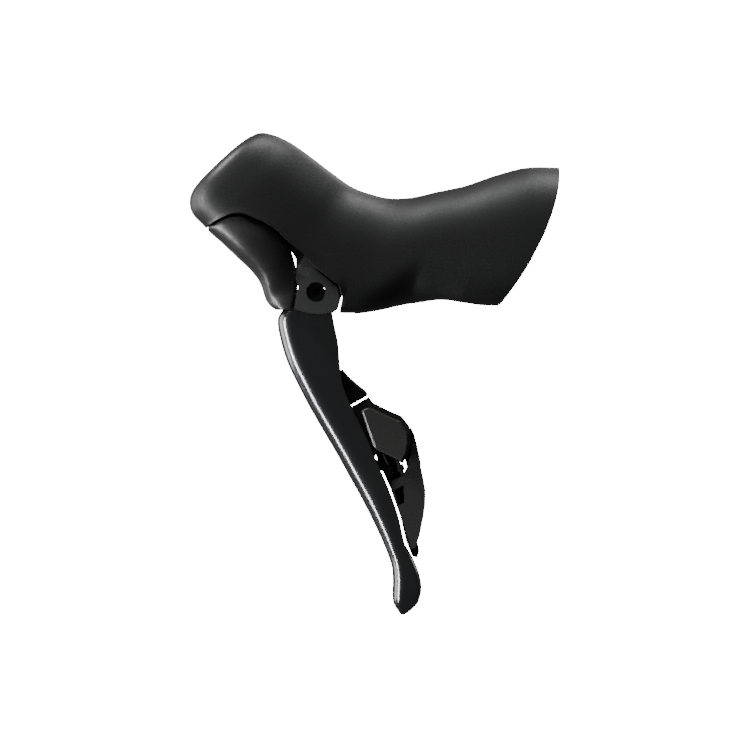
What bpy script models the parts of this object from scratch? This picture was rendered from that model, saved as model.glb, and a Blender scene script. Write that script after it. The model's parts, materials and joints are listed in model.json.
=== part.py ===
"""Road-bike brake and shift lever, right hand, for hydraulic brakes and electronic shifting.

Frame: the origin is on the handlebar's axis at the middle of the clamp band. +X points back
along the bike, +Z up, and +Y to the outboard side, where the shift buttons are pressed.
Sizes in this script are in millimetres and become metres where a mesh is made.
"""

import math

import bmesh
import bpy
from mathutils import Matrix, Vector

for leftover in list(bpy.data.objects):
    bpy.data.objects.remove(leftover)

MM = 0.001
GAP = 0.3
NAME = "brake_shift_lever"

# ---------------------------------------------------------------- driving dimensions
BAR_RADIUS = 12.0
BAR_BEND_RADIUS = 45.0
BAR_TILT = math.radians(23.7)
RUBBER = 2.2
PIVOT = (-52.7, -12.4)
AXLE_RADIUS = 2.75
CHEEK_INNER = 9.0
CHEEK_OUTER = 13.2
BLADE_WALL = 2.0
COVER_WALL = 1.2
ARM_RADIUS = 12.0
PULL_RANGE = math.radians(20)
CYLINDER_ANGLE = math.radians(130)
SLEEVE_RADIUS = 6.2
BORE_RADIUS = 4.8
BUTTON_ANGLE = math.radians(-68)

# ---------------------------------------------------------------- outlines and sections
# The hood's rings: top point (x, z), bottom point (x, z), half width, squareness, egg.
# The first ring is a point on the nose. A negative egg makes a ring wider at its bottom.
RINGS = [
    ((-83.4, 28.4), (-83.4, 28.4), 0.0, 2.2, 0.0),
    ((-80.0, 31.7), (-86.8, 25.2), 5.2, 2.2, 0.0),
    ((-76.4, 34.8), (-89.9, 22.1), 9.6, 2.3, 0.0),
    ((-73.2, 36.9), (-91.8, 19.5), 12.2, 2.4, -0.02),
    ((-70.0, 38.0), (-92.7, 16.2), 13.9, 2.4, -0.04),
    ((-66.2, 37.3), (-91.8, 12.5), 14.8, 2.4, -0.06),
    ((-62.4, 35.7), (-88.3, 8.7), 15.3, 2.4, -0.08),
    ((-58.4, 33.3), (-84.5, 4.9), 15.6, 2.4, -0.08),
    ((-53.0, 29.3), (-78.7, -0.8), 15.6, 2.4, -0.08),
    ((-47.2, 24.9), (-72.8, -6.4), 15.4, 2.4, -0.07),
    ((-41.8, 21.1), (-66.2, -13.1), 15.1, 2.4, -0.05),
    ((-36.6, 19.0), (-54.2, -18.1), 14.9, 2.5, -0.03),
    ((-30.0, 17.4), (-41.7, -19.0), 14.8, 2.5, 0.0),
    ((-22.8, 17.6), (-32.7, -17.9), 15.1, 2.5, 0.02),
    ((-14.7, 19.4), (-24.4, -16.1), 15.6, 2.5, 0.02),
    ((-5.8, 21.3), (-15.6, -15.2), 16.2, 2.5, 0.02),
    ((3.8, 24.6), (-7.7, -16.0), 16.9, 2.5, 0.02),
    ((13.6, 27.0), (-1.0, -16.8), 17.5, 2.6, 0.02),
    ((23.6, 27.0), (4.3, -16.9), 17.9, 2.6, 0.02),
]
LAST = len(RINGS) - 1
REAR_BOW = 4.2
FLOOR_SQUARE = 3.0

# The edge of the hood's front opening, seen from the side, from the nose to the underside.
OPENING = [
    (-94.0, 0.8), (-90.0, 5.4), (-87.2, 8.0), (-84.6, 9.8), (-82.2, 11.0), (-79.6, 12.0),
    (-76.0, 12.3), (-73.1, 11.2), (-66.5, 8.1), (-61.2, 3.3), (-56.4, -0.8), (-52.7, -4.6),
    (-47.6, -8.6), (-45.4, -10.5), (-44.5, -14.6), (-45.4, -17.8), (-46.2, -22.1),
]
SLOT_END = 12.1
SLOT_HALF = 9.4
SLOT_FADE = 1.6

# The bracket draws in towards the nose, ahead of this ring, by this much for each ring.
NOSE_RING = 7.2
NOSE_TAPER = 1.45

# The front cover's sections: front point, rear edge point, half width.
COVER = [
    ((-86.9, 7.2), (-86.3, 8.0), 8.0),
    ((-86.0, 6.3), (-83.2, 9.8), 10.6),
    ((-84.3, 4.7), (-80.0, 11.2), 12.6),
    ((-81.2, 1.6), (-76.0, 11.6), 14.0),
    ((-77.5, -1.9), (-72.0, 10.0), 14.5),
    ((-73.8, -5.4), (-67.0, 7.7), 14.2),
    ((-71.1, -8.9), (-62.2, 2.9), 13.0),
    ((-69.7, -12.1), (-59.8, -2.7), 10.9),
    ((-68.5, -15.1), (-59.8, -9.7), 9.0),
    ((-67.1, -16.8), (-60.2, -15.5), 8.7),
    ((-65.4, -17.9), (-60.4, -17.7), 8.6),
]

COVER_SQUARE = 0.74

# The blade's stations: front, crease, rear edge, half width, channel depth (0 to 1), sweep in Y.
BLADE = [
    ((-61.0, -14.1), (-57.6, -14.1), (-48.1, -14.1), 7.1, 1.0, 0.0),
    ((-63.4, -17.7), (-59.0, -17.7), (-48.0, -17.3), 7.1, 1.0, 0.0),
    ((-65.0, -21.1), (-59.8, -20.7), (-47.6, -20.1), 7.1, 1.0, 0.0),
    ((-64.1, -27.1), (-58.8, -26.2), (-46.8, -24.1), 7.1, 1.0, 0.1),
    ((-61.8, -34.6), (-56.4, -32.6), (-45.9, -28.8), 7.1, 1.0, 0.3),
    ((-58.4, -41.7), (-53.0, -39.0), (-45.4, -35.4), 7.1, 1.0, 0.6),
    ((-55.1, -48.1), (-49.5, -45.1), (-44.2, -42.3), 7.0, 1.0, 1.0),
    ((-50.8, -55.6), (-45.1, -52.3), (-40.9, -50.0), 6.9, 1.0, 1.5),
    ((-46.4, -63.1), (-40.7, -59.8), (-37.1, -57.7), 6.8, 1.0, 2.1),
    ((-42.2, -70.7), (-36.6, -67.7), (-33.6, -66.1), 6.7, 1.0, 2.8),
    ((-38.0, -78.3), (-32.8, -75.5), (-30.1, -74.1), 6.6, 0.9, 3.6),
    ((-34.1, -86.1), (-29.5, -83.9), (-27.0, -82.8), 6.4, 0.6, 4.4),
    ((-31.1, -92.9), (-27.4, -91.5), (-25.2, -90.7), 6.3, 0.25, 5.1),
    ((-29.1, -98.5), (-25.6, -97.6), (-23.4, -97.1), 6.4, 0.0, 5.6),
    ((-28.7, -103.1), (-24.8, -102.5), (-21.5, -102.1), 6.6, 0.0, 6.0),
    ((-28.8, -106.9), (-24.8, -106.5), (-21.0, -106.3), 6.3, 0.0, 6.2),
    ((-28.6, -109.9), (-25.2, -110.1), (-22.0, -110.1), 5.0, 0.0, 6.3),
    ((-27.5, -112.3), (-25.5, -112.4), (-23.5, -112.4), 3.2, 0.0, 6.4),
    ((-26.1, -114.1), (-25.6, -114.1), (-25.1, -114.1), 0.9, 0.0, 6.4),
]

# Flat outlines in the side view.
CHEEK = [
    (-59.6, -17.7), (-58.8, -12.5), (-57.6, -9.7), (-56.4, -7.7), (-52.8, -5.3), (-48.1, -9.2),
    (-46.1, -11.0), (-45.3, -14.5), (-46.2, -17.5), (-47.9, -18.7), (-50.7, -19.3), (-54.9, -19.0),
]
WEB = [
    (-75.0, 14.0), (-75.0, 9.6), (-68.6, 5.4), (-64.4, 1.4), (-60.6, 0.6), (-59.0, -2.0),
    (-59.1, -8.7), (-57.9, -11.6), (-50.0, -15.6), (-47.4, -17.5), (-45.9, -16.5), (-44.9, -13.3),
    (-43.6, -10.0), (-42.5, -6.0), (-52.0, 2.0), (-62.0, 10.0),
]
WELL = [
    (-70.2, -27.1), (-70.2, -4.1), (-54.6, -4.1), (-51.1, -3.2), (-41.8, 4.6), (-38.2, 0.5),
    (-38.2, -9.1), (-39.8, -15.1), (-39.8, -27.1),
]
COVER_TAB = [
    (-62.8, -16.5), (-61.6, -16.5), (-63.0, -12.6), (-65.8, -7.5), (-67.2, -8.2), (-64.7, -13.1),
]
HOUSING = [
    (-43.6, -51.2), (-41.4, -48.1), (-36.3, -45.2), (-34.9, -47.0), (-29.8, -49.6), (-26.0, -51.2),
    (-23.5, -54.3), (-23.1, -59.5), (-24.1, -63.3), (-25.5, -66.1), (-29.8, -64.1), (-34.8, -61.7),
    (-39.2, -59.7),
]
HOUSING_FOOT = [
    (-33.6, -61.6), (-34.3, -64.1), (-35.8, -64.2), (-37.0, -62.6), (-37.4, -60.0), (-34.6, -60.4),
]
SWITCH_FACE = [
    (-38.8, -49.5), (-36.2, -48.3), (-29.9, -51.3), (-25.9, -52.9), (-23.9, -56.3), (-23.6, -59.4),
    (-24.4, -63.1), (-25.7, -65.6), (-29.7, -63.7), (-34.3, -61.5), (-35.4, -58.9),
]
FRONT_BUTTON = [
    (-31.2, -52.1), (-27.7, -61.1), (-25.1, -71.1), (-23.0, -81.1), (-21.2, -89.1), (-20.3, -94.0),
    (-21.0, -96.1), (-22.6, -95.5), (-24.4, -90.9), (-26.3, -83.0), (-29.4, -74.2), (-32.9, -66.3),
    (-36.4, -57.9), (-38.5, -53.4), (-36.7, -50.9),
]
FRONT_ARM = [
    (-34.6, -64.7), (-28.8, -67.1), (-28.8, -70.5), (-32.9, -68.1),
]
REAR_BUTTON = [
    (-22.5, -59.9), (-21.8, -60.3), (-20.5, -64.1), (-19.1, -70.7), (-18.4, -74.5), (-18.5, -79.1),
    (-19.1, -83.1), (-20.2, -88.7), (-21.6, -92.7), (-23.0, -92.9), (-24.0, -89.7), (-26.1, -82.3),
    (-29.2, -73.7), (-29.1, -71.7), (-25.6, -70.1), (-24.2, -67.3), (-23.3, -64.1),
]
REAR_TOP = [
    (-25.4, -56.5), (-22.9, -54.9), (-21.9, -56.9), (-20.9, -60.8), (-19.7, -66.6), (-24.2, -67.3),
    (-25.6, -62.0),
]
REAR_PAD = [
    (-24.1, -68.1), (-20.6, -66.1), (-19.5, -71.1), (-18.9, -75.1), (-19.2, -81.1), (-20.3, -86.9),
    (-21.5, -82.3), (-23.5, -74.6),
]
WINDOW = [
    (-28.4, -74.5), (-25.4, -73.0), (-25.1, -78.5), (-27.0, -79.3),
]

# ---------------------------------------------------------------- materials
PALETTE = {
    "rubber": ((0.030, 0.032, 0.034), 0.62, 0.0),
    "body_resin": ((0.055, 0.056, 0.060), 0.50, 0.0),
    "cover_gloss": ((0.022, 0.022, 0.024), 0.28, 0.0),
    "blade_metal": ((0.20, 0.21, 0.225), 0.30, 0.9),
    "switch_resin": ((0.045, 0.045, 0.047), 0.55, 0.0),
    "steel": ((0.55, 0.55, 0.56), 0.32, 1.0),
    "black_steel": ((0.06, 0.06, 0.065), 0.40, 0.9),
    "alloy": ((0.62, 0.63, 0.65), 0.38, 1.0),
    "seal_rubber": ((0.02, 0.02, 0.02), 0.70, 0.0),
    "circuit": ((0.02, 0.10, 0.05), 0.45, 0.0),
    "brass": ((0.70, 0.52, 0.22), 0.35, 1.0),
}


def material(name, finish):
    """A part's own Principled material in one of the finishes."""
    colour, roughness, metallic = PALETTE[finish]
    made = bpy.data.materials.new(name)
    made.use_nodes = True
    shader = made.node_tree.nodes["Principled BSDF"]
    shader.inputs["Base Color"].default_value = (*colour, 1.0)
    shader.inputs["Roughness"].default_value = roughness
    shader.inputs["Metallic"].default_value = metallic
    return made


# ---------------------------------------------------------------- small helpers
def at(x, y, z):
    return Vector((x, y, z)) * MM


def blend(values, t):
    """Catmull-Rom through a list of equal-length number lists, at position t in list steps."""
    i = min(int(t), len(values) - 2)
    f = t - i
    near = (values[max(i - 1, 0)], values[i], values[i + 1], values[min(i + 2, len(values) - 1)])
    found = []
    for a, b, c, d in zip(*near):
        slope = c - a
        bend = 2 * a - 5 * b + 4 * c - d
        twist = 3 * b - a - 3 * c + d
        found.append(b + 0.5 * f * (slope + f * (bend + f * twist)))
    return found


def flat(row):
    """A row's nested points as one flat list of numbers."""
    numbers = []
    for item in row:
        numbers.extend(item if isinstance(item, tuple) else (item,))
    return numbers


def linked(name, data, folder=NAME):
    """A new object in a collection, which is made on first use."""
    group = bpy.data.collections.get(folder)
    if not group:
        group = bpy.data.collections.new(folder)
        bpy.context.scene.collection.children.link(group)
    obj = bpy.data.objects.new(name, data)
    group.objects.link(obj)
    return obj


def cleaned(mesh):
    """Merges double points and turns all faces outwards."""
    bm = bmesh.new()
    bm.from_mesh(mesh)
    bmesh.ops.remove_doubles(bm, verts=bm.verts, dist=0.002 * MM)
    bmesh.ops.recalc_face_normals(bm, faces=bm.faces)
    bm.to_mesh(mesh)
    bm.free()
    return mesh


def mesh_from(name, build):
    """A mesh object from a function that fills a bmesh."""
    bm = bmesh.new()
    build(bm)
    mesh = bpy.data.meshes.new(name)
    bm.to_mesh(mesh)
    bm.free()
    return linked(name, cleaned(mesh))


def applied(obj):
    """Replaces the object by a mesh object that holds its evaluated, cleaned mesh."""
    name = obj.name
    bpy.context.view_layer.update()
    place = obj.matrix_world.copy()
    graph = bpy.context.evaluated_depsgraph_get()
    mesh = bpy.data.meshes.new_from_object(obj.evaluated_get(graph))
    mesh.transform(place)
    bpy.data.objects.remove(obj)
    return linked(name, cleaned(mesh))


def loft(name, rows, closed=True, caps=True):
    """Quads between rows of points, with the first and last row filled when caps is set."""

    def build(bm):
        lines = [[bm.verts.new(point) for point in row] for row in rows]
        count = len(lines[0])
        for low, high in zip(lines, lines[1:]):
            for i in range(count if closed else count - 1):
                j = (i + 1) % count
                bm.faces.new((low[i], low[j], high[j], high[i]))
        if caps:
            bm.faces.new(lines[0])
            bm.faces.new(reversed(lines[-1]))

    return mesh_from(name, build)


def plate(name, outline, y_low, y_high):
    """A flat outline in the side view, as thick as y_low to y_high."""
    curve = bpy.data.curves.new(name, "CURVE")
    curve.dimensions = "2D"
    curve.fill_mode = "BOTH"
    curve.extrude = abs(y_high - y_low) / 2 * MM
    spline = curve.splines.new("POLY")
    spline.points.add(len(outline) - 1)
    for point, (x, z) in zip(spline.points, outline):
        point.co = (x * MM, z * MM, 0, 1)
    spline.use_cyclic_u = True
    guide = linked(name, curve)
    guide.rotation_euler = (math.pi / 2, 0, 0)
    guide.location = at(0, (y_low + y_high) / 2, 0)
    return applied(guide)


def turned(name, profile, start, direction, sides=24):
    """A solid turned about a line. The profile is (distance along, radius) pairs."""
    frame = Vector(direction).to_track_quat("Z", "Y")
    rows = []
    for along, radius in profile:
        row = []
        for i in range(sides):
            angle = 2 * math.pi * i / sides
            local = Vector((radius * math.cos(angle), radius * math.sin(angle), along))
            row.append((Vector(start) + frame @ local) * MM)
        rows.append(row)
    return loft(name, rows)


def rod(name, start, end, radius, sides=24):
    """A cylinder between two points."""
    along = Vector(end) - Vector(start)
    return turned(name, [(0, radius), (along.length, radius)], start, along, sides)


def block(name, centre, size, turn_y=0.0):
    def build(bm):
        bmesh.ops.create_cube(bm, size=1.0)
        bmesh.ops.scale(bm, vec=Vector(size) * MM, verts=bm.verts)
        place = Matrix.Translation(at(*centre)) @ Matrix.Rotation(turn_y, 4, "Y")
        bmesh.ops.transform(bm, matrix=place, verts=bm.verts)

    return mesh_from(name, build)


def coil(name, start, direction, radius, low, high, turns, wire, steps=11):
    """A coil spring about a line, from low to high along it."""
    frame = Vector(direction).to_track_quat("Z", "Y")
    curve = bpy.data.curves.new(name, "CURVE")
    curve.dimensions = "3D"
    curve.bevel_depth = wire * MM
    curve.bevel_resolution = 1
    curve.use_fill_caps = True
    spline = curve.splines.new("POLY")
    spline.points.add(turns * steps)
    for i, point in enumerate(spline.points):
        angle = 2 * math.pi * i / steps
        along = low + (high - low) * i / (turns * steps)
        local = Vector((radius * math.cos(angle), radius * math.sin(angle), along))
        point.co = (*((Vector(start) + frame @ local) * MM), 1)
    return applied(linked(name, curve))


def wire(name, route, radius, steps=4):
    """A round cable along a smooth curve through the route's points."""
    count = (len(route) - 1) * steps
    places = [blend([list(point) for point in route], i / steps) for i in range(count + 1)]
    curve = bpy.data.curves.new(name, "CURVE")
    curve.dimensions = "3D"
    curve.bevel_depth = radius * MM
    curve.bevel_resolution = 2
    curve.use_fill_caps = True
    spline = curve.splines.new("POLY")
    spline.points.add(len(places) - 1)
    for point, place in zip(spline.points, places):
        point.co = (*(Vector(place) * MM), 1)
    return applied(linked(name, curve))


def combine(obj, tools, operation):
    """Applies Booleans of one kind to obj, one after another, and removes the tools."""
    for tool in tools:
        modifier = obj.modifiers.new("shape", "BOOLEAN")
        modifier.operation = operation
        modifier.solver = "EXACT"
        modifier.object = tool
        obj = applied(obj)
        bpy.data.objects.remove(tool)
    return obj


def cut(obj, *tools):
    return combine(obj, tools, "DIFFERENCE")


def join(obj, *tools):
    return combine(obj, tools, "UNION")


def bevelled(obj, width, segments=1):
    modifier = obj.modifiers.new("edges", "BEVEL")
    modifier.width = width * MM
    modifier.segments = segments
    modifier.limit_method = "ANGLE"
    modifier.angle_limit = math.radians(40)
    return applied(obj)


def finish(obj, name, look, pivot=None, angle=35):
    """Names a finished part, shades it, and puts its origin on its joint's axis."""
    obj.name = name
    obj.data.name = name
    obj.data.shade_smooth()
    obj.data.set_sharp_from_angle(angle=math.radians(angle))
    obj.data.materials.clear()
    obj.data.materials.append(material(name, look))
    if pivot:
        obj.data.transform(Matrix.Translation(-at(*pivot)))
        obj.location = at(*pivot)
    return obj


def arc(centre, radius, start, end, count):
    """Points of an arc in the side view, with its angles in degrees."""
    points = []
    for i in range(count):
        angle = math.radians(start + (end - start) * i / (count - 1))
        points.append((centre[0] + radius * math.cos(angle), centre[1] + radius * math.sin(angle)))
    return points


# ---------------------------------------------------------------- the hood's surface
FLAT_RINGS = [flat(row) for row in RINGS]


def ring_at(u):
    """Ring number u, between the listed ones by a smooth curve."""
    tx, tz, bx, bz, width, square, egg = blend(FLAT_RINGS, u)
    return Vector((tx, tz)), Vector((bx, bz)), max(width, 0.0), square, egg


def squareness(u, square, c, inset=0.0):
    """The ring's power: its lower half is squarer at the rear, and outside beside the slot."""
    if c >= 0:
        return square
    rear = (u - (LAST - 4)) / 2
    slot = 0.0 if inset else 1 - abs(u - SLOT_END) / SLOT_FADE
    return square + FLOOR_SQUARE * min(1.0, max(rear, slot, 0.0))


def ring_point(u, theta, inset=0.0):
    """A point of the hood's outer skin: theta is 0 at the top and pi at the bottom."""
    top, bottom, width, square, egg = ring_at(u)
    height = bottom - top
    if inset:
        step = height.normalized() * inset
        top, bottom = top + step, bottom - step
        width -= inset
    c, s = math.cos(theta), math.sin(theta)
    rear = max(0.0, (u - (LAST - 4)) / 4)
    square = squareness(u, square, c, inset)
    c = math.copysign(abs(c) ** (2 / square), c)
    s = math.copysign(abs(s) ** (2 / square), s)
    middle = (top + bottom) / 2 + (top - bottom) / 2 * c
    bow = REAR_BOW * rear * rear * (1 - c * c)
    return at(middle.x + bow, width * s * (1 + egg * c), middle.y)


def crossing(top, bottom, line):
    """How far along top to bottom, from 0 to 1, the broken line first cuts the segment, or None."""
    best = None
    along = bottom - top
    for a, b in zip(line, line[1:]):
        start, side = Vector(a), Vector(b) - Vector(a)
        turn = along.cross(side)
        if abs(turn) < 1e-9:
            continue
        share = (start - top).cross(side) / turn
        on_line = (start - top).cross(along) / turn
        if 0 <= share <= 1 and 0 <= on_line <= 1:
            best = share if best is None else min(best, share)
    return best


def hood_end(u):
    """The angle where ring u stops at the front opening or at the slot for the blade."""
    top, bottom, width, square, egg = ring_at(u)
    share = crossing(top, bottom, OPENING) if u > 5 else None
    end = math.pi
    if share is not None:
        c = 1 - 2 * share
        end = math.acos(math.copysign(abs(c) ** (squareness(u, square, c) / 2), c))
    if u > 10:
        side = SLOT_HALF / (width * (1 - egg))
        end = min(end, math.pi - math.asin(min(1.0, side) ** (squareness(u, square, -1) / 2)))
    return end


def hood_steps():
    """Ring numbers for the hood, closer together at the nose and where the opening ends."""
    steps = [0.35, 0.8, 1.3, 1.9, 2.6, 3.3, 4.0, 4.6, 5.1, 5.4, 5.6, 5.8, 6.1, 6.5, 7.0, 7.5, 8.0]
    steps += [8.5, 9.0, 9.5, 10.0, 10.4, 10.8, 11.1, 11.35, 11.55, 11.75, 11.9]
    count = 10
    steps += [SLOT_END + (LAST - SLOT_END) * i / count for i in range(count + 1)]
    return steps


def hood_cover():
    """The rubber cover: a sleeve from its closed nose to the handlebar, open in front below.

    At the back its floor has a notch, where the handlebar goes down between its sides.
    """
    around, below = 10, 6

    def quads(bm, lines):
        for low, high in zip(lines, lines[1:]):
            for i in range(len(low) - 1):
                bm.faces.new((low[i], low[i + 1], high[i + 1], high[i]))

    def build(bm):
        nose = bm.verts.new(ring_point(0, 0))
        lines, floor = [], []
        for u in hood_steps():
            end = hood_end(u)
            row = [ring_point(u, end * i / around) for i in range(-around, around + 1)]
            lines.append([bm.verts.new(point) for point in row])
            if u >= SLOT_END:
                step = 2 * (math.pi - end) / below
                floor.append([lines[-1][-1]])
                floor[-1] += [bm.verts.new(ring_point(u, end + step * i)) for i in range(1, below)]
                floor[-1].append(lines[-1][0])
        for i in range(2 * around):
            bm.faces.new((nose, lines[0][i + 1], lines[0][i]))
        quads(bm, lines)
        quads(bm, floor)

    obj = mesh_from("hood_cover", build)
    wall = obj.modifiers.new("wall", "SOLIDIFY")
    wall.thickness = RUBBER * MM
    wall.offset = -1
    notch = join(
        rod("notch", at_bar(0, -60), at_bar(0, -6), BAR_RADIUS + GAP, 32),
        block("behind", at_bar(-20, -33), (40, 2 * (BAR_RADIUS + GAP), 54), BAR_TILT),
    )
    finish(cut(applied(obj), notch), "hood_cover", "rubber")


# ---------------------------------------------------------------- places on the mechanism
CYLINDER_DIR = Vector((math.cos(CYLINDER_ANGLE), 0, math.sin(CYLINDER_ANGLE)))
ARM_REST = CYLINDER_ANGLE - math.pi / 2 - PULL_RANGE / 2
TRUNNION = (PIVOT[0] + ARM_RADIUS * math.cos(ARM_REST), PIVOT[1] + ARM_RADIUS * math.sin(ARM_REST))
# The cylinder's axis runs midway between the trunnion's highest and lowest reach.
AXIS_REACH = ARM_RADIUS * (1 + math.cos(PULL_RANGE / 2)) / 2
AXIS_FOOT = Vector((
    PIVOT[0] + AXIS_REACH * math.sin(CYLINDER_ANGLE), 0, PIVOT[1] - AXIS_REACH * math.cos(CYLINDER_ANGLE),
))
BAR_DIR = Vector((math.sin(BAR_TILT), 0, math.cos(BAR_TILT)))
BAR_NORMAL = Vector((-math.cos(BAR_TILT), 0, math.sin(BAR_TILT)))
BUTTON_DIR = Vector((math.cos(BUTTON_ANGLE), 0, math.sin(BUTTON_ANGLE)))
HORN_FACE = Vector((RINGS[0][0][0], 0, RINGS[0][0][1]))
HORN_TILT = math.radians(45)
COVER_OUT = Vector((-0.82, 0, -0.57)).normalized()
COVER_BOSS = Vector((-66.4, 0, -8.9))
REACH_SCREW = Vector((-62.8, 0, -17.0))
HOSE_DIR = Vector((0.96, 0, 0.28)).normalized()
HOSE_PORT = Vector((-16.8, -4.6, 12.6))
PLUG_PORT = Vector((-16.8, 4.6, 12.6))
CELL = Vector((-27.3, -9.9, 0))
CELL_SCREWS = [(-39.4, 6.6), (-39.4, -6.6)]
BOOT = Vector((-40.3, 0.7, -46.9))
BOOT_DIR = Vector((-0.5, 0, math.sqrt(0.75)))
SPRING_SEAT = Vector((-31.5, 1.4, -54.0))
FRONT_PIN = Vector((-33.0, 1.6, -60.0))
REAR_PIN = Vector((-29.2, 0.6, -60.9))


def on_cylinder(along):
    """A point on the master cylinder's axis, measured from the foot of the pivot's perpendicular."""
    return AXIS_FOOT + CYLINDER_DIR * along


def at_bar(forward, along=0.0):
    """A point forward of the handlebar's axis, and along the bar."""
    return BAR_NORMAL * forward + BAR_DIR * along


def in_horn(deep, up=0.0, y=0.0):
    """A point inside the horn, deep from its end face and up along that face."""
    slope = math.sqrt(0.5)
    return HORN_FACE + Vector(((deep + up) * slope, y, (up - deep) * slope))


# ---------------------------------------------------------------- bracket and clamp
def bar_tool(radius):
    """The bent handlebar as a cutter: a ring whose middle line passes through the origin."""
    rows = []
    centre = -BAR_NORMAL * BAR_BEND_RADIUS
    for i in range(-9, 10):
        turn = math.radians(4 * i)
        outward = BAR_NORMAL * math.cos(turn) + BAR_DIR * math.sin(turn)
        row = []
        for k in range(32):
            angle = 2 * math.pi * k / 32
            local = outward * (BAR_BEND_RADIUS + radius * math.cos(angle))
            row.append((centre + local + Vector((0, radius * math.sin(angle), 0))) * MM)
        rows.append(row)
    return loft("bar_tool", rows)


def strap(name, half_width, front, width):
    """A flat-fronted loop round the handlebar: half a circle behind, straight sides, a front."""
    outline = [(-front, -half_width * 0.9), (-front * 0.6, -half_width)]
    outline += [
        (half_width * math.sin(math.pi * i / 22), -half_width * math.cos(math.pi * i / 22))
        for i in range(23)
    ]
    outline += [(-front * 0.6, half_width), (-front, half_width * 0.9)]
    turn = Matrix.Rotation(BAR_TILT, 3, "Y")
    rows = []
    for z in (-width / 2, width / 2):
        rows.append([(turn @ Vector((x, y, z))) * MM for x, y in outline])
    return loft(name, rows)


def clamp():
    """The steel strap, the nut plate in it, and the bolt that draws both forward."""
    band = cut(
        strap("clamp_band", BAR_RADIUS + 0.9, 16.2, 8.0), strap("inside", BAR_RADIUS + 0.1, 15.4, 14),
        rod("hole", at_bar(12), at_bar(20), 2.9, 20),
    )
    finish(band, "clamp_band", "steel")
    nut = bevelled(block("clamp_nut", at_bar(13.8), (2.6, 14.0, 7.4), BAR_TILT), 0.4)
    nut = cut(nut, rod("thread", at_bar(10), at_bar(20), 2.75, 20))
    finish(nut, "clamp_nut", "steel")
    bolt = turned(
        "clamp_bolt", [(0, 2.1), (0.5, 2.5), (7.2, 2.5), (7.2, 3.6), (10.2, 3.6), (10.8, 3.1)],
        at_bar(12.9), BAR_NORMAL,
    )
    bolt = cut(bolt, rod("hex", at_bar(21.0), at_bar(30), 2.0, 6))
    finish(bolt, "clamp_bolt", "steel")


def bracket_body():
    """The moulded bracket under the rubber, with its pockets, bores and cheeks."""
    around = 11
    inset = RUBBER + GAP + 0.4
    steps = [4.9, 5.3, 5.8, 6.4, 7.2, 8.2, 9.2, 10.2, 11.2, 12.2, 13.2, 14.2, 15.2, 16.1]
    rows = []
    for u in steps:
        edge = inset + NOSE_TAPER * max(0.0, NOSE_RING - u)
        rows.append([ring_point(u, math.pi * i / around, edge) for i in range(-around, around)])
    body = loft("bracket_body", rows)
    front = [(x + 0.8, z + 1.0) for x, z in OPENING[:11]]
    front += [(-58.4, -4.1), (-59.6, -30), (-100, -30)]
    body = cut(body, plate("front", front, -20, 20))
    under = [(-60, -30), (-60, -12.5), (-44.9, -12.5), (-46.6, -30)]
    body = cut(body, plate("under", under, -20, 20))
    for side in (-1, 1):
        body = join(
            body, plate("cheek", CHEEK, side * (CHEEK_INNER - 2.5), side * CHEEK_OUTER),
            plate("web", WEB, side * (CHEEK_INNER + 0.2), side * (CHEEK_INNER + 1.4)),
        )
    body = cut(body, plate("well", WELL, -CHEEK_INNER, CHEEK_INNER), bar_tool(BAR_RADIUS + 0.2))
    x, z = PIVOT
    body = cut(body, rod("axle_hole", (x, -20, z), (x, 20, z), AXLE_RADIUS + 0.1, 28))
    for side in (-1, 1):
        socket = arc(PIVOT, 3.1, 42, 318, 15)
        body = cut(body, plate("socket", socket, side * (CHEEK_OUTER - 1.5), side * 15))
    body = cut(
        body,
        rod("cylinder_bore", on_cylinder(5.4), on_cylinder(35.0), SLEEVE_RADIUS + GAP, 28),
        block("clamp_room", at_bar(2.7), (29.6, 32, 9.2), BAR_TILT),
        rod("bolt_hole", at_bar(16), at_bar(21), 2.85, 20),
        rod("bolt_seat", at_bar(19.8), at_bar(46), 4.2, 20),
        rod("hose_bore", HOSE_PORT, HOSE_PORT + HOSE_DIR * 30, 2.8, 20),
        rod("plug_bore", PLUG_PORT, PLUG_PORT + HOSE_DIR * 30, 2.3, 16),
        rod("cell_pocket", CELL + Vector((0, 3.3, 0)), CELL - Vector((0, 10, 0)), 8.2, 28),
        block("cell_seat", (-30.3, -15.1, 0), (23.0, 10, 17.0)),
        block("board_pocket", (-31, 14.6, 1.0), (22, 10, 14)),
        rod("board_hole", (-31, 5, 1.0), (-31, 12, 1.0), 0.9, 10),
    )
    body = cut(body, horn_block("reservoir_room", 7.0, (14.4, 13.6, 13.0)))
    for x, z in CELL_SCREWS:
        body = cut(body, rod("screw_hole", (x, -5, z), (x, -14, z), 0.95, 12))
    finish(body, "bracket_body", "body_resin", angle=30)


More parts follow.
